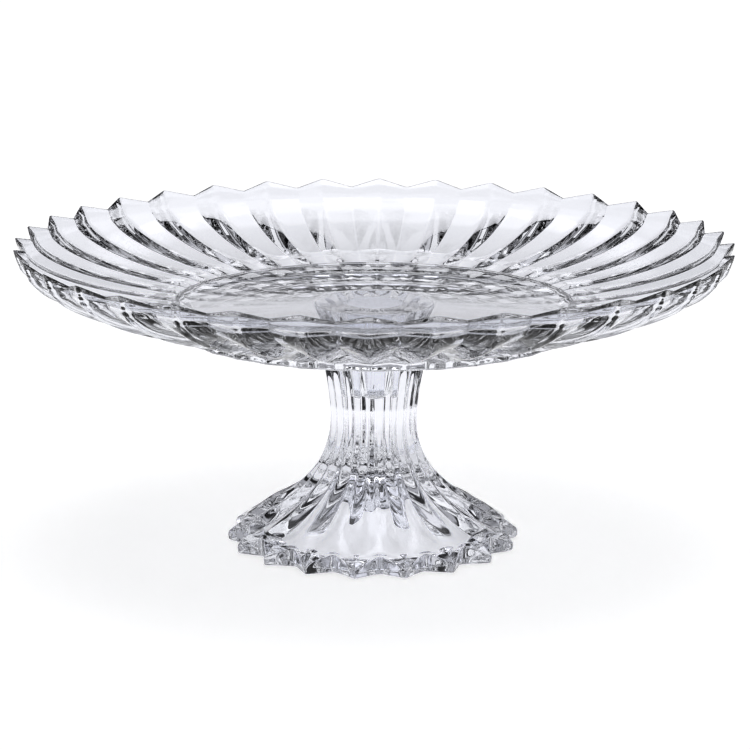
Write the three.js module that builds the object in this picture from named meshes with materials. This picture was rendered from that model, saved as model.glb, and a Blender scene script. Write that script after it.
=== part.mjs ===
// A footed cake stand in clear pressed crystal, as a three.js scene graph in millimetres, +Z up.
// A fluted plate with a zigzag rim stands on a bell-shaped pedestal, and a ring of clear
// adhesive joins the two. The origin is on the stand's axis, in the plane that the foot rests on.
//
// Each glass piece is a lathe whose outline differs between two kinds of meridian: one runs
// through the points of its rim, the other through the notches between them. The flat facets
// of its V flutes span from one kind to the other.
import * as THREE from "three";

// Heights above the surface that the stand rests on
const FOOT_TIP_Z = 3.6;
const FOOT_CREST_Z = 8.4; // where the crest from each point of the foot meets its notches
const FOOT_NOTCH_Z = 9.4;
const FOOT_CHAMFER = 0.6;
const BELL_CEILING_Z = 29;
const WELL_FLOOR_Z = 66;
const PLATE_BOTTOM_Z = 93.8;
const HEAD_SHOULDER_Z = 95.4;
const PEDESTAL_TOP_Z = 96.3;
const PLATE_LAND_Z = 96.6;
const COLLAR_TOP_Z = 97.6;
const COLLAR_NOTCH_TOP_Z = 98.4;
const PLATE_FLOOR_Z = 106;
const FLUTE_ROOT_Z = 107.4;
const FLUTE_ROOT_NOTCH_Z = 107.7;
const RIM_NOTCH_Z = 128.5;
const RIM_TIP_Z = 130.9;

// Plate radii, on the tip meridians unless named otherwise
const PLATE_TIPS = 36;
const RIM_TIP_R = 152.4;
const RIM_NOTCH_R = 148;
const FLUTE_ROOT_R = 85.5;
const FLOOR_R = 78.6;
const COLLAR_R = 86.2;
const COLLAR_NOTCH_R = 85.2;
const COLLAR_CHAMFER = 0.7;
const LAND_R = 26.6;

// Pedestal radii
const FOOT_TIPS = 18;
const FOOT_TURN_DEG = 3.76;
const FOOT_TIP_R = 62.9;
const FOOT_NOTCH_R = 55;
const FOOT_OPENING_R = 44;
const WAIST_R = 19;
const WAIST_VALLEY_R = 17;
const HEAD_R = 26.1;
const HEAD_VALLEY_R = 25.2;
const HEAD_FACE_R = 25.3;
const WELL_MOUTH_R = 12.2;
const WELL_FLOOR_R = 7.3;
const ROUND = 2.5;

// Adhesive ring, set back from both edges of the pedestal's head
const ADHESIVE_SETBACK = 0.3;

const CURVE_STEPS = 3; // straight steps between two points of a smooth stretch
const TWO_PI = 2 * Math.PI;

const points = (...pairs) => pairs.map(([r, z]) => new THREE.Vector2(r, z));

// A closed outline from the axis back to the axis, counter-clockwise in the (r, z) half plane.
// A number of pairs in one array is a smooth stretch through them, a lone pair is a corner, and
// a bend is a parabolic arc.
function outline(start, ...stretches) {
  const path = new THREE.Path().moveTo(...start);
  for (const stretch of stretches) {
    if (stretch.corner) path.quadraticCurveTo(...stretch.corner, ...stretch.end);
    else if (Array.isArray(stretch[0])) path.splineThru(points(...stretch));
    else path.lineTo(...stretch);
  }
  return path.getPoints(CURVE_STEPS);
}

// An arc that starts towards the corner and comes away from it to the end.
const bend = (corner, end) => ({ corner, end });

// The underside of the plate from its flat land to an edge: a parabola that is level at the axis.
function hollowUnderside(edgeR) {
  const drop = PLATE_LAND_Z - PLATE_BOTTOM_Z;
  const slope = (2 * LAND_R * drop) / (edgeR ** 2 - LAND_R ** 2);
  const middleR = (LAND_R + edgeR) / 2;
  return bend([middleR, PLATE_LAND_Z - slope * (middleR - LAND_R)], [edgeR, PLATE_BOTTOM_Z]);
}

// A lathe body whose even columns follow one outline and whose odd ones follow the other. Each
// cell is cut in two along the line from its point on the even side to the next on the odd side,
// so the two halves of every flute mirror each other.
function flutedBody(evenOutline, oddOutline, tips, turnDeg) {
  const columns = 2 * tips;
  const rows = evenOutline.length;
  const geometry = new THREE.LatheGeometry(evenOutline, columns);
  const position = geometry.attributes.position;
  for (let column = 0; column <= columns; column += 1) {
    const angle = ((column % columns) * TWO_PI) / columns;
    const meridian = column % 2 ? oddOutline : evenOutline;
    meridian.forEach(({ x: r, y: z }, row) => {
      position.setXYZ(column * rows + row, r * Math.sin(angle), z, r * Math.cos(angle));
    });
  }
  const cells = [];
  for (let column = 0; column < columns; column += 1) {
    for (let row = 0; row < rows - 1; row += 1) {
      const here = column * rows + row;
      const beside = here + rows;
      if (column % 2) cells.push(here, beside, here + 1, beside + 1, here + 1, beside);
      else cells.push(here, beside, beside + 1, beside + 1, here + 1, here);
    }
  }
  geometry.setIndex(cells);
  return geometry.rotateX(Math.PI / 2).rotateZ(THREE.MathUtils.degToRad(turnDeg));
}

// A flat ring of rectangular section.
function ring(innerR, outerR, bottomZ, topZ) {
  const section = points(
    [innerR, bottomZ],
    [outerR, bottomZ],
    [outerR, topZ],
    [innerR, topZ],
    [innerR, bottomZ],
  );
  return new THREE.LatheGeometry(section, 2 * PLATE_TIPS).rotateX(Math.PI / 2);
}

function glass(name, geometry, color) {
  const material = new THREE.MeshStandardMaterial({
    color,
    roughness: 0.02,
    metalness: 0,
    transparent: true,
    opacity: 0.35,
  });
  const mesh = new THREE.Mesh(geometry, material);
  mesh.name = name;
  return mesh;
}

// The plate is a thick disc, slightly hollowed underneath, whose scalloped edge shows as a collar
// below. Round it is a fluted bowl with deep flutes outside and shallow ones inside, and its rim
// is rounded over, with a bright bevel inside each point.
function cakePlate() {
  const alongTips = outline(
    [0, PLATE_LAND_Z],
    [LAND_R, PLATE_LAND_Z],
    hollowUnderside(COLLAR_R - COLLAR_CHAMFER),
    [COLLAR_R, PLATE_BOTTOM_Z + COLLAR_CHAMFER],
    [COLLAR_R, COLLAR_TOP_Z],
    [[92, 98.4], [99, 100], [114, 104], [128, 108.7], [139.5, 114], [144.5, 117.1], [149.8, 122.4]],
    [151.9, 128.4],
    [152.2, 129.8],
    bend([152.85, 131.5], [151.3, 130.6]),
    [149.4, 128.6],
    [
      [145.5, 122.3],
      [138, 117.8],
      [127, 113.7],
      [112, 110.1],
      [97, 108],
      [FLUTE_ROOT_R, FLUTE_ROOT_Z],
    ],
    [FLOOR_R, PLATE_FLOOR_Z],
    [0, PLATE_FLOOR_Z],
  );
  const alongNotches = outline(
    [0, PLATE_LAND_Z],
    [LAND_R, PLATE_LAND_Z],
    hollowUnderside(COLLAR_NOTCH_R - COLLAR_CHAMFER),
    [COLLAR_NOTCH_R, PLATE_BOTTOM_Z + COLLAR_CHAMFER],
    [COLLAR_NOTCH_R, COLLAR_NOTCH_TOP_Z],
    [
      [90.6, 100.4],
      [97.5, 103.6],
      [112.3, 108],
      [126.1, 112.2],
      [137.4, 116.8],
      [142.3, 119.5],
      [146.2, 123],
    ],
    [147.2, 126],
    [147.6, 127.2],
    bend([RIM_NOTCH_R, RIM_NOTCH_Z], [147, 127.3]),
    [146.5, 126.6],
    [
      [144, 122.9],
      [136.6, 118.4],
      [125.7, 114.2],
      [110.9, 110.6],
      [96, 108.4],
      [FLUTE_ROOT_R, FLUTE_ROOT_NOTCH_Z],
    ],
    [FLOOR_R, PLATE_FLOOR_Z],
    [0, PLATE_FLOOR_Z],
  );
  const body = flutedBody(alongNotches, alongTips, PLATE_TIPS, 180 / PLATE_TIPS);
  return glass("cake_plate", body, 0xe9ebf2);
}

// The pedestal flares from its waist to a flat head above and to a bell below. The bell is
// hollow and open underneath, and a tapered well opens in the head.
function pedestal() {
  const hollow = [
    [0, BELL_CEILING_Z],
    [[8, 27.6], [17.5, 21.2], [28, 13.2], [38, 6], [FOOT_OPENING_R, 0]],
  ];
  const headAndWell = [
    [HEAD_FACE_R, PEDESTAL_TOP_Z],
    [WELL_MOUTH_R, PEDESTAL_TOP_Z],
    [WELL_FLOOR_R + ROUND / 2, WELL_FLOOR_Z + ROUND],
    [WELL_FLOOR_R - ROUND / 2, WELL_FLOOR_Z],
    [0, WELL_FLOOR_Z],
  ];
  const alongTips = outline(
    ...hollow,
    [FOOT_TIP_R - 2 * FOOT_CHAMFER, 0],
    [FOOT_TIP_R - FOOT_CHAMFER, FOOT_CHAMFER],
    [FOOT_TIP_R, FOOT_TIP_Z],
    [57.2, 8],
    [
      [45.9, 12.4],
      [32.8, 20.6],
      [24.2, 29.2],
      [18.8, 40.8],
      [WAIST_VALLEY_R, 54.8],
      [19.5, 75.2],
      [HEAD_VALLEY_R, HEAD_SHOULDER_Z],
    ],
    ...headAndWell,
  );
  const alongNotches = outline(
    ...hollow,
    [FOOT_NOTCH_R - 2 * FOOT_CHAMFER, 0],
    [FOOT_NOTCH_R - FOOT_CHAMFER, FOOT_CHAMFER],
    [FOOT_NOTCH_R, FOOT_CREST_Z],
    [FOOT_NOTCH_R, FOOT_NOTCH_Z],
    [
      [47.7, 15],
      [34.6, 23],
      [26.3, 31],
      [20.8, 42],
      [WAIST_R, 55],
      [21.4, 75],
      [HEAD_R, HEAD_SHOULDER_Z],
    ],
    ...headAndWell,
  );
  const body = flutedBody(alongTips, alongNotches, FOOT_TIPS, FOOT_TURN_DEG + 180 / FOOT_TIPS);
  return glass("pedestal", body, 0xe4e7ef);
}

function adhesiveRing() {
  const innerR = WELL_MOUTH_R + ADHESIVE_SETBACK;
  const outerR = HEAD_FACE_R - ADHESIVE_SETBACK;
  return glass("adhesive_ring", ring(innerR, outerR, PEDESTAL_TOP_Z, PLATE_LAND_Z), 0xf2f3f6);
}

const cakeStand = new THREE.Group();
cakeStand.add(cakePlate(), pedestal(), adhesiveRing());

export default cakeStand;
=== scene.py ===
"""A footed cake stand in clear pressed crystal: the finished surfaces, materials, light and camera.

The two glass bodies are built from meridians: outlines in the upright half plane through the
axis, one through the points of a zigzag rim and one through its notches. Every flute facet is
stretched between a point meridian and a notch meridian, and its edges are rounded as a pressed
and fire-polished edge is. Lengths in the outlines are millimetres, and the objects are in metres.
"""

import math

import bmesh
import bpy
import numpy as np
from mathutils import Matrix, Vector

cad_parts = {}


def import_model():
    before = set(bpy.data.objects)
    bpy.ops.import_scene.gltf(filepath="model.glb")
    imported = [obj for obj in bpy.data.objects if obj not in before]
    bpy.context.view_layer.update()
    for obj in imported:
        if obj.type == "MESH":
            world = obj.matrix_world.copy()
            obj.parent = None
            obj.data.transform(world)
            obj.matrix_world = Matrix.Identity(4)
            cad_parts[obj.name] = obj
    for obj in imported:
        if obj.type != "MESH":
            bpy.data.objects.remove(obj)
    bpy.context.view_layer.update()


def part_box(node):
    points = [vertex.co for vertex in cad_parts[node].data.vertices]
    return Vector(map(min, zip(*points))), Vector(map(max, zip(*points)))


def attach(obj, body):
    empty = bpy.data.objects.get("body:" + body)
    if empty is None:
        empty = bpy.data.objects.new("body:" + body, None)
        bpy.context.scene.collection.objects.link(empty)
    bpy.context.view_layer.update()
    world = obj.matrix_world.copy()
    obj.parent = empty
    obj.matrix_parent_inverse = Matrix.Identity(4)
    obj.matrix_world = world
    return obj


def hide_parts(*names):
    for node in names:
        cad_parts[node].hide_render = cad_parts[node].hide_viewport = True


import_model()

MM = 0.001

# Heights above the table and radii, in millimetres, and counts of points round a rim
PLATE_BOTTOM_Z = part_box("cake_plate")[0].z / MM
RIM_TIP_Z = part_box("cake_plate")[1].z / MM
RIM_TIP_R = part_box("cake_plate")[1].x / MM
PEDESTAL_TOP_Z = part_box("pedestal")[1].z / MM
SHOULDER_Z = PEDESTAL_TOP_Z - 0.9
CONTACT_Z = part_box("adhesive_ring")[1].z / MM
LAND_R = 26.6
BOND_OUTER_R = 25.0
BOND_INNER_R = 12.6
FLOOR_Z = 106.0
FLUTE_ROOT_Z = 107.4
FLUTE_ROOT_R = 85.5
DISC_R = 78.6
COLLAR_R = 86.2
COLLAR_NOTCH_R = 85.2
COLLAR_TOP_Z = 97.6
COLLAR_NOTCH_TOP_Z = 98.4
COLLAR_BEVEL = 0.7
COLLAR_FILLET = 1.5
RIM_CORNER = (RIM_TIP_R + 0.4, RIM_TIP_Z + 0.7)
HEAD_R = 26.1
FOOT_R = 63.5
FOOT_OPENING_R = 44
WELL_MOUTH_R = 12.2
WELL_FLOOR_Z = 65
PLATE_TIPS = 36
FOOT_TIPS = 18
FOOT_TURN = math.radians(3.76)
# Width that fire-polish rounds on each side of a flute's edge, on the tip and the notch lines
PLATE_EDGES = (1.3, 0.6)
PEDESTAL_EDGES = (0.5, 2.4)
MOST_ROUNDED = 0.3  # of a facet's width
ADHESIVE_SIDES = 180

# Photographic set-up
CAMERA_DISTANCE = 1.4414
CAMERA_AZIMUTH = math.radians(270.79)
CAMERA_ELEVATION = math.radians(10.97)
CAMERA_PITCH = math.radians(13.23)
CAMERA_ROLL = math.radians(0.27)
CAMERA_ASIDE = 0.0005
CAMERA_LENS = 163.4
SENSOR = 36.0

# Glass
CRYSTAL_IOR = 1.53
CRYSTAL_CLEAR = (0.945, 0.951, 0.98)
CRYSTAL_DEEP = (0.915, 0.924, 0.962)
ADHESIVE_IOR = 1.5
CORD_SCALE = 14
# Relief of the glass: its depth in millimetres and the scale of its noise
MOULD_WAVE, MOULD_SCALE = 0.05, 35
CHILL_MARK, CHILL_SCALE = 0.002, 210
SCRATCH_DEPTH, SCRATCH_SCALES = 0.004, (900, 700)
SCRATCH_LEVEL = 0.68
WEAR_REACH = 0.2
ADHESIVE_CLEAR = (0.95, 0.945, 0.93)
ADHESIVE_DEEP = (0.9, 0.89, 0.85)
ADHESIVE_ROUGHNESS = 0.08
ADHESIVE_SHADE_SCALE = 120
BUBBLE_SCALE, BUBBLE_SIZE, BUBBLE_DEPTH, BUBBLE_STRENGTH = 900, 0.2, 0.05, 0.6

BACKDROP = (1.05, 1.05, 1.05)
# Each light panel of the studio: azimuth and half width of its middle, lowest and highest
# elevation, all in degrees, and its colour. The table's back is at azimuth 90.
STUDIO = (
    ((0, 181), (-90, 90), (0.01, 0.01, 0.012)),
    ((0, 181), (79, 90), (4.0, 4.0, 4.05)),
    ((90, 45), (63, 79), (1.6, 1.6, 1.63)),
    ((90, 45), (48, 63), (0.85, 0.85, 0.87)),
    ((90, 45), (6, 20), (0.5, 0.5, 0.52)),
    ((0, 45), (55, 79), (0.95, 0.95, 0.97)),
    ((0, 45), (30, 55), (0.75, 0.75, 0.77)),
    ((180, 45), (55, 79), (0.65, 0.65, 0.67)),
    ((180, 45), (30, 55), (0.4, 0.4, 0.41)),
    ((270, 45), (55, 79), (0.85, 0.85, 0.87)),
)
SOFT_EDGE = 0.03
FLOOR_RADIUS = 3.0
FLOOR_DROP = 0.0005
FLOOR_COLOUR = (0.5, 0.5, 0.5)
TABLE_GLOW = 0.75
GRADE_GAMMA = 0.66
GLASS_BOUNCES = 24
GLOSS_BOUNCES = 12
CLIP_NEAR, CLIP_FAR = 0.05, 50


# --- Meridians -------------------------------------------------------------------------------

def spline(points, samples=200):
    """A dense centripetal Catmull-Rom curve through the points."""
    p = np.array(points, float)
    p = np.vstack([2 * p[0] - p[1], p, 2 * p[-1] - p[-2]])
    knots = np.concatenate([[0], np.cumsum(np.linalg.norm(np.diff(p, axis=0), axis=1) ** 0.5)])
    out = []
    for t in np.linspace(knots[1], knots[-2], samples):
        i = int(np.clip(np.searchsorted(knots, t, side="right") - 1, 1, len(p) - 3))
        t0, t1, t2, t3 = knots[i - 1:i + 3]
        a1 = ((t1 - t) * p[i - 1] + (t - t0) * p[i]) / (t1 - t0)
        a2 = ((t2 - t) * p[i] + (t - t1) * p[i + 1]) / (t2 - t1)
        a3 = ((t3 - t) * p[i + 1] + (t - t2) * p[i + 2]) / (t3 - t2)
        b1 = ((t2 - t) * a1 + (t - t0) * a2) / (t2 - t0)
        b2 = ((t3 - t) * a2 + (t - t1) * a3) / (t3 - t1)
        out.append(((t2 - t) * b1 + (t - t1) * b2) / (t2 - t1))
    return np.array(out)


def resample(curve, rows, trim_start, trim_end):
    """Evenly spaced points along a curve, short of its ends by the trims."""
    along = np.concatenate([[0], np.cumsum(np.linalg.norm(np.diff(curve, axis=0), axis=1))])
    at = np.linspace(trim_start, along[-1] - trim_end, rows)
    return np.stack([np.interp(at, along, curve[:, 0]), np.interp(at, along, curve[:, 1])], 1)


def meridian(stretches, rows, radii, steps=4):
    """Joins the stretches end to end, with each corner between two of them rounded off."""
    curves = [spline(s) if len(s) > 2 else np.array(s, float) for s in stretches]
    out = []
    for i, (curve, count) in enumerate(zip(curves, rows)):
        before = radii[i - 1] if i else 0
        after = radii[i] if i < len(radii) else 0
        line = resample(curve, count, before, after)
        # The stretch before a sharp corner has already put a row on it
        out.append(line if i == 0 or before else line[1:])
        if after:
            end = resample(curves[i + 1], 2, after, 0)[0]
            t = np.linspace(0, 1, steps + 2)[1:-1, None]
            out.append((1 - t) ** 2 * line[-1] + 2 * t * (1 - t) * curve[-1] + t ** 2 * end)
    return np.vstack(out)


def bonded_bands(line, z):
    """The bands of faces of a meridian that the adhesive covers, as a first and a last one."""
    on = (abs(line[:, 1] - z) < 1e-6) & (line[:, 0] > BOND_INNER_R - 1e-6)
    rows = np.flatnonzero(on & (line[:, 0] < BOND_OUTER_R + 1e-6))
    return rows.min(), rows.max()


def flute_columns(tips, plain=3, arc=3):
    """Columns round the axis. Each is (tip index, share of the way to a notch, side, bend)."""
    columns = []
    arc_at = np.linspace(0, 1, arc + 1)[1:]
    straight = np.linspace(0, 1, plain + 2)[1:-1]
    for tip in range(tips):
        half = [("tip", 0.0)] + [("tip", a) for a in arc_at]
        half += [("flat", s) for s in straight]
        half += [("notch", a) for a in arc_at[::-1]] + [("notch", 0.0)]
        columns += [(tip, 1, kind, value) for kind, value in half]
        back = [("notch", a) for a in arc_at] + [("flat", s) for s in straight[::-1]]
        back += [("tip", a) for a in arc_at[::-1]]
        columns += [(tip + 1, -1, kind, value) for kind, value in back]
    return columns


def polar(r, z, angle):
    return np.stack([r * math.cos(angle), r * math.sin(angle), z], 1)


def fluted_surface(tip_line, notch_line, tips, turn, edges, round_rows):
    """A grid of points, one column of rows for each place round the axis."""
    tip_edge, notch_edge = edges
    pitch = 2 * math.pi / tips
    grid = []
    for tip, side, kind, value in flute_columns(tips):
        tip_angle = turn + tip * pitch
        notch_angle = tip_angle + side * pitch / 2
        t = polar(tip_line[:, 0], tip_line[:, 1], tip_angle)
        n = polar(notch_line[:, 0], notch_line[:, 1], notch_angle)
        width = np.maximum(np.linalg.norm(n - t, axis=1), 1e-6)
        tip_cut = np.minimum(tip_edge / width, MOST_ROUNDED)[:, None]
        notch_cut = np.minimum(notch_edge / width, MOST_ROUNDED)[:, None]
        # Shares of the chord from tip to notch, measured on this side
        if kind == "flat":
            share = tip_cut + (1 - tip_cut - notch_cut) * value
            point = t + (n - t) * share
        else:
            corner, other, cut = (t, n, tip_cut) if kind == "tip" else (n, t, notch_cut)
            if kind == "tip":
                far = polar(notch_line[:, 0], notch_line[:, 1], tip_angle - side * pitch / 2)
            else:
                far = polar(tip_line[:, 0], tip_line[:, 1], notch_angle + side * pitch / 2)
            # a quadratic arc from the cut on the other side, through to the cut on this side
            b = 0.5 + value / 2
            point = corner + cut * ((1 - b) ** 2 * (far - corner) + b ** 2 * (other - corner))
            toward = cut * (b ** 2 - (1 - b) ** 2)
            share = toward if kind == "tip" else 1 - toward
        # Round rows follow the circle instead of the chord
        share = share[:, 0]
        angle = tip_angle + side * share * pitch / 2
        r = tip_line[:, 0] + (notch_line[:, 0] - tip_line[:, 0]) * share
        z = tip_line[:, 1] + (notch_line[:, 1] - tip_line[:, 1]) * share
        smooth = np.stack([r * np.cos(angle), r * np.sin(angle), z], 1)
        grid.append(np.where(round_rows[:, None], smooth, point))
    return np.array(grid)


def skin(name, grid, bonded=(0, 0)):
    """A closed mesh of the grid, whose first and last rows lie on the axis."""
    columns, rows = grid.shape[:2]
    first, last = grid[0, 0], grid[0, -1]
    body = grid[:, 1:-1].reshape(-1, 3)
    verts = np.vstack([body, first, last]) * MM
    n = rows - 2
    faces = []
    for c in range(columns):
        d = (c + 1) % columns
        faces.append((len(body), d * n, c * n))
        for k in range(n - 1):
            faces.append((c * n + k, d * n + k, d * n + k + 1, c * n + k + 1))
        faces.append((len(body) + 1, c * n + n - 1, d * n + n - 1))
    mesh = bpy.data.meshes.new(name)
    mesh.from_pydata(verts.tolist(), [], faces)
    for polygon in mesh.polygons:
        polygon.use_smooth = True
        if bonded[0] <= polygon.index % (n + 1) < bonded[1]:
            polygon.material_index = 1
    piece = bpy.data.objects.new(name, mesh)
    bpy.context.scene.collection.objects.link(piece)
    return piece


# --- Pieces ----------------------------------------------------------------------------------

def hollowed(edge):
    """The plate's underside from its flat land out to the collar: a shallow parabola."""
    drop = (CONTACT_Z - PLATE_BOTTOM_Z) / (edge ** 2 - LAND_R ** 2)
    return [(r, CONTACT_Z - drop * (r ** 2 - LAND_R ** 2)) for r in np.linspace(LAND_R, edge, 8)]


def plate_piece():
    under_disc = [
        [(0, CONTACT_Z), (BOND_INNER_R, CONTACT_Z)],
        [(BOND_INNER_R, CONTACT_Z), (BOND_OUTER_R, CONTACT_Z)],
        [(BOND_OUTER_R, CONTACT_Z), (LAND_R, CONTACT_Z)],
    ]
    tip_stretches = [
        *under_disc,
        hollowed(COLLAR_R - COLLAR_BEVEL),
        [(COLLAR_R - COLLAR_BEVEL, PLATE_BOTTOM_Z), (COLLAR_R, PLATE_BOTTOM_Z + COLLAR_BEVEL)],
        [(COLLAR_R, PLATE_BOTTOM_Z + COLLAR_BEVEL), (COLLAR_R, COLLAR_TOP_Z)],
        [(COLLAR_R, COLLAR_TOP_Z), (COLLAR_R + COLLAR_FILLET, 97.8)],
        [(COLLAR_R + COLLAR_FILLET, 97.8), (92, 98.4), (99, 100), (114, 104), (128, 108.7),
         (139.5, 114), (144.5, 117.1), (149.8, 122.4)],
        [(149.8, 122.4), (151.9, 128.4)],
        [(151.9, 128.4), RIM_CORNER],
        [RIM_CORNER, (149.4, 128.6)],
        [(149.4, 128.6), (148.4, 126), (145.5, 122.3), (138, 117.8), (127, 113.7), (112, 110.1),
         (97, 108), (FLUTE_ROOT_R, FLUTE_ROOT_Z)],
        [(FLUTE_ROOT_R, FLUTE_ROOT_Z), (DISC_R, FLOOR_Z)],
        [(DISC_R, FLOOR_Z), (0, FLOOR_Z)],
    ]
    notch_stretches = [
        *under_disc,
        hollowed(COLLAR_NOTCH_R - COLLAR_BEVEL),
        [(COLLAR_NOTCH_R - COLLAR_BEVEL, PLATE_BOTTOM_Z),
         (COLLAR_NOTCH_R, PLATE_BOTTOM_Z + COLLAR_BEVEL)],
        [(COLLAR_NOTCH_R, PLATE_BOTTOM_Z + COLLAR_BEVEL), (COLLAR_NOTCH_R, COLLAR_NOTCH_TOP_Z)],
        [(COLLAR_NOTCH_R, COLLAR_NOTCH_TOP_Z), (COLLAR_NOTCH_R + COLLAR_FILLET, 98.8)],
        [(COLLAR_NOTCH_R + COLLAR_FILLET, 98.8), (90.6, 100.4), (97.5, 103.6), (112.3, 108),
         (126.1, 112.2), (137.4, 116.8), (142.3, 119.5), (146.2, 123)],
        [(146.2, 123), (147.4, 126.4)],
        [(147.4, 126.4), (148, 128.5)],
        [(148, 128.5), (146.5, 126.6)],
        [(146.5, 126.6), (146.1, 125.7), (144, 122.9), (136.6, 118.4), (125.7, 114.2),
         (110.9, 110.6), (96, 108.4), (FLUTE_ROOT_R, FLUTE_ROOT_Z + 0.3)],
        [(FLUTE_ROOT_R, FLUTE_ROOT_Z + 0.3), (DISC_R, FLOOR_Z)],
        [(DISC_R, FLOOR_Z), (0, FLOOR_Z)],
    ]
    rows = [3, 3, 3, 24, 3, 4, 3, 50, 6, 4, 3, 70, 6, 14]
    radii = [0, 0, 0.3, 0.4, 0.3, 0.8, 0.5, 0.9, 0.5, 1.6, 0.5, 0.5, 0.6]
    tip_line = meridian(tip_stretches, rows, radii)
    notch_line = meridian(notch_stretches, rows, radii)
    round_rows = np.zeros(len(tip_line), bool)
    grid = fluted_surface(tip_line, notch_line, PLATE_TIPS, 0.0, PLATE_EDGES, round_rows)
    return skin("Plate", grid, bonded_bands(tip_line, CONTACT_Z))


def pedestal_piece():
    hollow = [(0, 29), (8, 27.6), (17.5, 21.2), (28, 13.2), (38, 6), (FOOT_OPENING_R, 0)]
    well_rise = [(WELL_MOUTH_R, PEDESTAL_TOP_Z), (8.2, 68)]
    well_round = [(8.2, 68), (7.4, 66.2), (5.4, 65.2), (0, WELL_FLOOR_Z)]
    rows = [90, 4, 3, 6, 8, 70, 4, 2, 3, 3, 12, 10]
    radii = [0.8, 0.5, 0.3, 1.6, 1.0, 0.3, 0, 0, 0, 0, 0]
    tip_stretches = [
        hollow,
        [(FOOT_OPENING_R, 0), (61.7, 0)],
        [(61.7, 0), (62.3, 0.6)],
        [(62.3, 0.6), (62.9, 3.6)],
        [(62.9, 3.6), (57.2, 8.0)],
        [(57.2, 8.0), (45.9, 12.4), (38.8, 16.4), (32.8, 20.6), (28.1, 24.8), (24.2, 29.2),
         (21.0, 34.6), (18.8, 40.8), (17.3, 47.6), (17.0, 54.8), (17.8, 65), (19.5, 75.2),
         (21.9, 85.2), (25.2, SHOULDER_Z)],
        [(25.2, SHOULDER_Z), (BOND_OUTER_R + 0.3, PEDESTAL_TOP_Z)],
        [(BOND_OUTER_R + 0.3, PEDESTAL_TOP_Z), (BOND_OUTER_R, PEDESTAL_TOP_Z)],
        [(BOND_OUTER_R, PEDESTAL_TOP_Z), (BOND_INNER_R, PEDESTAL_TOP_Z)],
        [(BOND_INNER_R, PEDESTAL_TOP_Z), (WELL_MOUTH_R, PEDESTAL_TOP_Z)],
        well_rise,
        well_round,
    ]
    notch_stretches = [
        hollow,
        [(FOOT_OPENING_R, 0), (53.8, 0)],
        [(53.8, 0), (54.4, 0.6)],
        [(54.4, 0.6), (54.9, 6.7)],
        [(54.9, 6.7), (55, 9.4)],
        [(55, 9.4), (47.7, 15), (40.7, 19), (34.6, 23), (30.1, 27), (26.3, 31),
         (23.1, 36), (20.8, 42), (19.3, 48), (19, 55), (19.8, 65), (21.4, 75),
         (23.6, 85), (HEAD_R, SHOULDER_Z)],
        [(HEAD_R, SHOULDER_Z), (BOND_OUTER_R + 0.3, PEDESTAL_TOP_Z)],
        [(BOND_OUTER_R + 0.3, PEDESTAL_TOP_Z), (BOND_OUTER_R, PEDESTAL_TOP_Z)],
        [(BOND_OUTER_R, PEDESTAL_TOP_Z), (BOND_INNER_R, PEDESTAL_TOP_Z)],
        [(BOND_INNER_R, PEDESTAL_TOP_Z), (WELL_MOUTH_R, PEDESTAL_TOP_Z)],
        well_rise,
        well_round,
    ]
    tip_line = meridian(tip_stretches, rows, radii)
    notch_line = meridian(notch_stretches, rows, radii)
    round_rows = np.zeros(len(tip_line), bool)
    round_rows[:rows[0] + 2] = True
    round_rows[-(rows[-1] + rows[-2] + rows[-3]):] = True
    grid = fluted_surface(tip_line, notch_line, FOOT_TIPS, FOOT_TURN, PEDESTAL_EDGES, round_rows)
    return skin("Pedestal", grid, bonded_bands(tip_line, PEDESTAL_TOP_Z))


def adhesive_piece():
    inner, outer = BOND_INNER_R, BOND_OUTER_R
    bottom, top = PEDESTAL_TOP_Z, CONTACT_Z
    verts, faces = [], []
    count = ADHESIVE_SIDES
    for i in range(count):
        a = 2 * math.pi * i / count
        for r, z in ((inner, bottom), (outer, bottom), (outer, top), (inner, top)):
            verts.append((r * math.cos(a) * MM, r * math.sin(a) * MM, z * MM))
    for i in range(count):
        j = (i + 1) % count
        for k in range(4):
            m = (k + 1) % 4
            faces.append((4 * i + k, 4 * j + k, 4 * j + m, 4 * i + m))
    mesh = bpy.data.meshes.new("Adhesive")
    mesh.from_pydata(verts, [], faces)
    for polygon in mesh.polygons:
        polygon.material_index = 1 if polygon.index % 4 in (0, 2) else 0
    piece = bpy.data.objects.new("Adhesive", mesh)
    bpy.context.scene.collection.objects.link(piece)
    return piece


# --- Materials -------------------------------------------------------------------------------

def math_node(tree, operation, a, b=None):
    """The output of one arithmetic node, whose inputs are numbers or sockets."""
    node = tree.nodes.new("ShaderNodeMath")
    node.operation = operation
    for socket, value in zip(node.inputs, (a, b)):
        if value is None:
            continue
        if isinstance(value, (int, float)):
            socket.default_value = value
        else:
            tree.links.new(value, socket)
    return node.outputs[0]


def noise(tree, scale, detail, stretch=(1, 1, 1)):
    """Noise over the piece in metres, finer along the axes that are stretched more."""
    place = tree.nodes.new("ShaderNodeMapping")
    place.inputs["Scale"].default_value = stretch
    tree.links.new(tree.nodes.new("ShaderNodeTexCoord").outputs["Object"], place.inputs["Vector"])
    cloud = tree.nodes.new("ShaderNodeTexNoise")
    cloud.inputs["Scale"].default_value = scale
    cloud.inputs["Detail"].default_value = detail
    tree.links.new(place.outputs[0], cloud.inputs["Vector"])
    return cloud.outputs["Fac"]


def bump(tree, height, depth, strength, under=None):
    """Adds one layer of relief, whose depth is in millimetres, to the normal under it."""
    node = tree.nodes.new("ShaderNodeBump")
    node.inputs["Distance"].default_value = depth * MM
    node.inputs["Strength"].default_value = strength
    tree.links.new(height, node.inputs["Height"])
    if under is not None:
        tree.links.new(under, node.inputs["Normal"])
    return node.outputs["Normal"]


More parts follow.
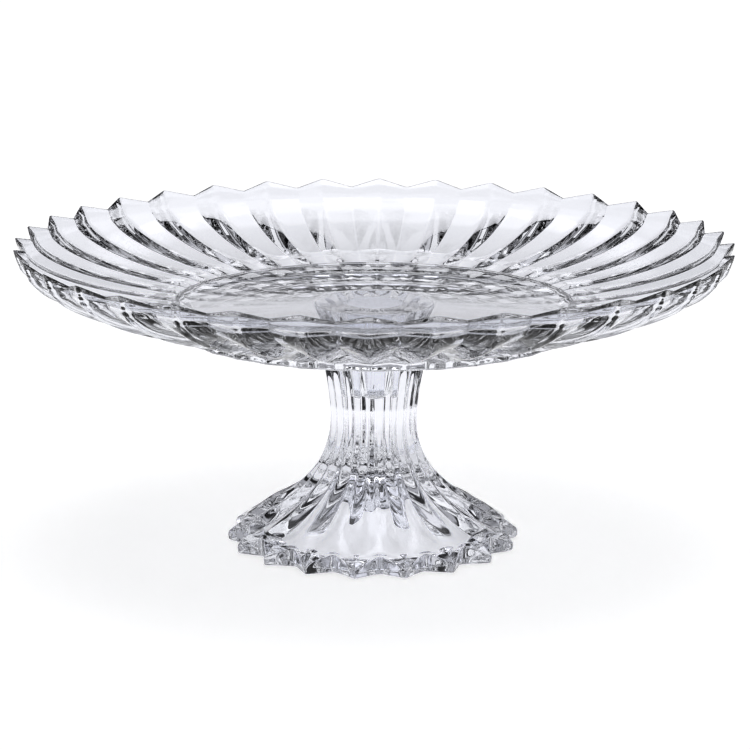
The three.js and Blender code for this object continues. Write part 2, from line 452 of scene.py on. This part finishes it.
def tinted(tree, share, low, high):
    """A colour between the two, by the share."""
    mix = tree.nodes.new("ShaderNodeMix")
    mix.data_type = "RGBA"
    mix.inputs["A"].default_value = (*low, 1)
    mix.inputs["B"].default_value = (*high, 1)
    tree.links.new(share, mix.inputs["Factor"])
    return mix.outputs["Result"]


def worn(tree, radius, height, reach):
    """1 where the glass rubs on things: at the given height, inside the given radius."""
    split = tree.nodes.new("ShaderNodeSeparateXYZ")
    tree.links.new(tree.nodes.new("ShaderNodeTexCoord").outputs["Object"], split.inputs[0])
    off = math_node(tree, "ABSOLUTE", math_node(tree, "SUBTRACT", split.outputs["Z"], height * MM))
    near = math_node(tree, "LESS_THAN", off, reach * MM)
    x2 = math_node(tree, "MULTIPLY", split.outputs["X"], split.outputs["X"])
    y2 = math_node(tree, "MULTIPLY", split.outputs["Y"], split.outputs["Y"])
    inside = math_node(tree, "LESS_THAN", math_node(tree, "ADD", x2, y2), (radius * MM) ** 2)
    return math_node(tree, "MULTIPLY", near, inside)


def scratches(tree):
    """Fine hairlines in two directions, as knives and shelves leave."""
    one = noise(tree, SCRATCH_SCALES[0], 2, (1, 0.03, 1))
    two = noise(tree, SCRATCH_SCALES[1], 2, (0.04, 1, 1))
    both = math_node(tree, "MAXIMUM", one, two)
    return math_node(tree, "GREATER_THAN", both, SCRATCH_LEVEL)


def crystal(name, worn_radius, worn_height):
    """Pressed crystal: a breath of colour, the slow waves of the mould, chill marks and wear."""
    material = bpy.data.materials.new(name)
    material.use_nodes = True
    tree = material.node_tree
    shader = tree.nodes["Principled BSDF"]
    shader.inputs["Roughness"].default_value = 0.0
    shader.inputs["IOR"].default_value = CRYSTAL_IOR
    shader.inputs["Transmission Weight"].default_value = 1.0
    cords = noise(tree, CORD_SCALE, 2)
    tree.links.new(tinted(tree, cords, CRYSTAL_DEEP, CRYSTAL_CLEAR), shader.inputs["Base Color"])
    normal = bump(tree, noise(tree, MOULD_SCALE, 1), MOULD_WAVE, 1.0)
    normal = bump(tree, noise(tree, CHILL_SCALE, 2), CHILL_MARK, 1.0, normal)
    marks = scratches(tree)
    used = worn(tree, worn_radius, worn_height, WEAR_REACH)
    rubbed = math_node(tree, "MULTIPLY", marks, used)
    normal = bump(tree, rubbed, SCRATCH_DEPTH, 1.0, normal)
    tree.links.new(normal, shader.inputs["Normal"])
    return material


def cured_adhesive(name):
    """Clear light-cured adhesive, a little warm, with a few pinhead bubbles at its edge."""
    material = bpy.data.materials.new(name)
    material.use_nodes = True
    tree = material.node_tree
    shader = tree.nodes["Principled BSDF"]
    shader.inputs["Roughness"].default_value = ADHESIVE_ROUGHNESS
    shader.inputs["IOR"].default_value = ADHESIVE_IOR
    shader.inputs["Transmission Weight"].default_value = 1.0
    shade = tinted(tree, noise(tree, ADHESIVE_SHADE_SCALE, 2), ADHESIVE_DEEP, ADHESIVE_CLEAR)
    tree.links.new(shade, shader.inputs["Base Color"])
    cells = tree.nodes.new("ShaderNodeTexVoronoi")
    cells.inputs["Scale"].default_value = BUBBLE_SCALE
    tree.links.new(tree.nodes.new("ShaderNodeTexCoord").outputs["Object"], cells.inputs["Vector"])
    bubble = math_node(tree, "LESS_THAN", cells.outputs["Distance"], BUBBLE_SIZE)
    tree.links.new(bump(tree, bubble, BUBBLE_DEPTH, BUBBLE_STRENGTH), shader.inputs["Normal"])
    return material


def bonded_face(name):
    """Glass that meets glass: the joint lets light straight through."""
    material = bpy.data.materials.new(name)
    material.use_nodes = True
    nodes, links = material.node_tree.nodes, material.node_tree.links
    nodes.remove(nodes["Principled BSDF"])
    clear = nodes.new("ShaderNodeBsdfTransparent")
    links.new(clear.outputs[0], nodes["Material Output"].inputs["Surface"])
    return material


def pale(name):
    material = bpy.data.materials.new(name)
    material.use_nodes = True
    shader = material.node_tree.nodes["Principled BSDF"]
    shader.inputs["Base Color"].default_value = (*FLOOR_COLOUR, 1)
    shader.inputs["Roughness"].default_value = 0.9
    shader.inputs["Emission Color"].default_value = (1, 1, 1, 1)
    shader.inputs["Emission Strength"].default_value = TABLE_GLOW
    return material


# --- Set -------------------------------------------------------------------------------------

def floor():
    bm = bmesh.new()
    bmesh.ops.create_circle(bm, cap_ends=True, segments=128, radius=FLOOR_RADIUS)
    mesh = bpy.data.meshes.new("Floor")
    bm.to_mesh(mesh)
    bm.free()
    mesh.materials.append(pale("Floor_Pale"))
    obj = bpy.data.objects.new("Floor", mesh)
    bpy.context.scene.collection.objects.link(obj)
    obj.location.z = -FLOOR_DROP


def step(tree, value, edge):
    """A soft step from 0 to 1 as the value passes the edge."""
    ramp = tree.nodes.new("ShaderNodeMapRange")
    ramp.interpolation_type = "SMOOTHSTEP"
    ramp.inputs["From Min"].default_value = edge - SOFT_EDGE
    ramp.inputs["From Max"].default_value = edge + SOFT_EDGE
    tree.links.new(value, ramp.inputs["Value"])
    return ramp.outputs[0]


def panel(tree, direction, level, around, between):
    """Where one light panel is: its share of the light from every direction."""
    azimuth, half = around
    low, high = between
    share = step(tree, level, math.sin(math.radians(low))) if low > -90 else None
    if high < 90:
        below = math_node(tree, "SUBTRACT", 1.0, step(tree, level, math.sin(math.radians(high))))
        share = below if share is None else math_node(tree, "MULTIPLY", share, below)
    if half < 180:
        dot = tree.nodes.new("ShaderNodeVectorMath")
        dot.operation = "DOT_PRODUCT"
        turn = math.radians(azimuth)
        dot.inputs[1].default_value = (math.cos(turn), math.sin(turn), 0)
        tree.links.new(direction, dot.inputs[0])
        inside = step(tree, dot.outputs["Value"], math.cos(math.radians(half)))
        share = inside if share is None else math_node(tree, "MULTIPLY", share, inside)
    return share


def world():
    """A dark studio with light panels overhead and round it, and white where the camera sees it."""
    w = bpy.data.worlds.new("Studio")
    bpy.context.scene.world = w
    w.use_nodes = True
    tree = w.node_tree
    nodes, links = tree.nodes, tree.links
    coordinate = nodes.new("ShaderNodeTexCoord").outputs["Generated"]
    split = nodes.new("ShaderNodeSeparateXYZ")
    links.new(coordinate, split.inputs[0])
    level = nodes.new("ShaderNodeVectorMath")
    level.operation = "MULTIPLY"
    level.inputs[1].default_value = (1, 1, 0)
    links.new(coordinate, level.inputs[0])
    heading = nodes.new("ShaderNodeVectorMath")
    heading.operation = "NORMALIZE"
    links.new(level.outputs[0], heading.inputs[0])
    lit = nodes.new("ShaderNodeRGB")
    lit.outputs[0].default_value = (0, 0, 0, 1)
    lit = lit.outputs[0]
    for around, between, colour in STUDIO:
        share = panel(tree, heading.outputs[0], split.outputs["Z"], around, between)
        add = nodes.new("ShaderNodeMix")
        add.data_type = "RGBA"
        add.blend_type = "ADD"
        add.inputs["Factor"].default_value = 1
        if share is not None:
            links.new(share, add.inputs["Factor"])
        links.new(lit, add.inputs["A"])
        add.inputs["B"].default_value = (*colour, 1)
        lit = add.outputs["Result"]
    path = nodes.new("ShaderNodeLightPath")
    seen = nodes.new("ShaderNodeMix")
    seen.data_type = "RGBA"
    seen.inputs["B"].default_value = (*BACKDROP, 1)
    links.new(path.outputs["Is Camera Ray"], seen.inputs["Factor"])
    links.new(lit, seen.inputs["A"])
    links.new(seen.outputs["Result"], nodes["Background"].inputs["Color"])
    nodes["Background"].inputs["Strength"].default_value = 1.0


def camera():
    data = bpy.data.cameras.new("Camera")
    data.lens = CAMERA_LENS
    data.sensor_width = SENSOR
    data.clip_start, data.clip_end = CLIP_NEAR, CLIP_FAR
    cam = bpy.data.objects.new("Camera", data)
    outward = Vector((math.cos(CAMERA_AZIMUTH), math.sin(CAMERA_AZIMUTH), 0))
    right = Vector((-outward.y, outward.x, 0))
    up = Vector((0, 0, 1))
    spot = outward * math.cos(CAMERA_ELEVATION) + up * math.sin(CAMERA_ELEVATION)
    rim = Vector((0, 0, RIM_TIP_Z * MM))
    place = rim + spot * CAMERA_DISTANCE + right * CAMERA_ASIDE
    forward = -outward * math.cos(CAMERA_PITCH) - up * math.sin(CAMERA_PITCH)
    cam_up = right.cross(forward)
    turn = Matrix.Rotation(-CAMERA_ROLL, 3, forward)
    x, y, z = turn @ right, turn @ cam_up, -forward
    cam.matrix_world = Matrix.Translation(place) @ Matrix((x, y, z)).transposed().to_4x4()
    bpy.context.scene.collection.objects.link(cam)
    bpy.context.scene.camera = cam


def pieces():
    joint = bonded_face("Bonded")
    plate = crystal("Plate_Crystal", DISC_R, FLOOR_Z)
    pedestal = crystal("Pedestal_Crystal", FOOT_R, 0)
    made = (
        (plate_piece(), "cake_plate", "plate_crystal", plate),
        (pedestal_piece(), "pedestal", "pedestal_crystal", pedestal),
        (adhesive_piece(), "adhesive_ring", "clear_adhesive", cured_adhesive("Cured_Adhesive")),
    )
    for piece, node, slot, surface in made:
        piece.data.materials.append(surface)
        piece.data.materials.append(joint)
        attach(piece, "root")
        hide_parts(node)


pieces()
floor()
world()
camera()
scene = bpy.context.scene
scene.view_settings.view_transform = "Standard"
scene.view_settings.gamma = GRADE_GAMMA
scene.cycles.max_bounces = GLASS_BOUNCES
scene.cycles.transmission_bounces = GLASS_BOUNCES
scene.cycles.glossy_bounces = GLOSS_BOUNCES
scene.cycles.caustics_refractive = True
scene.cycles.caustics_reflective = True
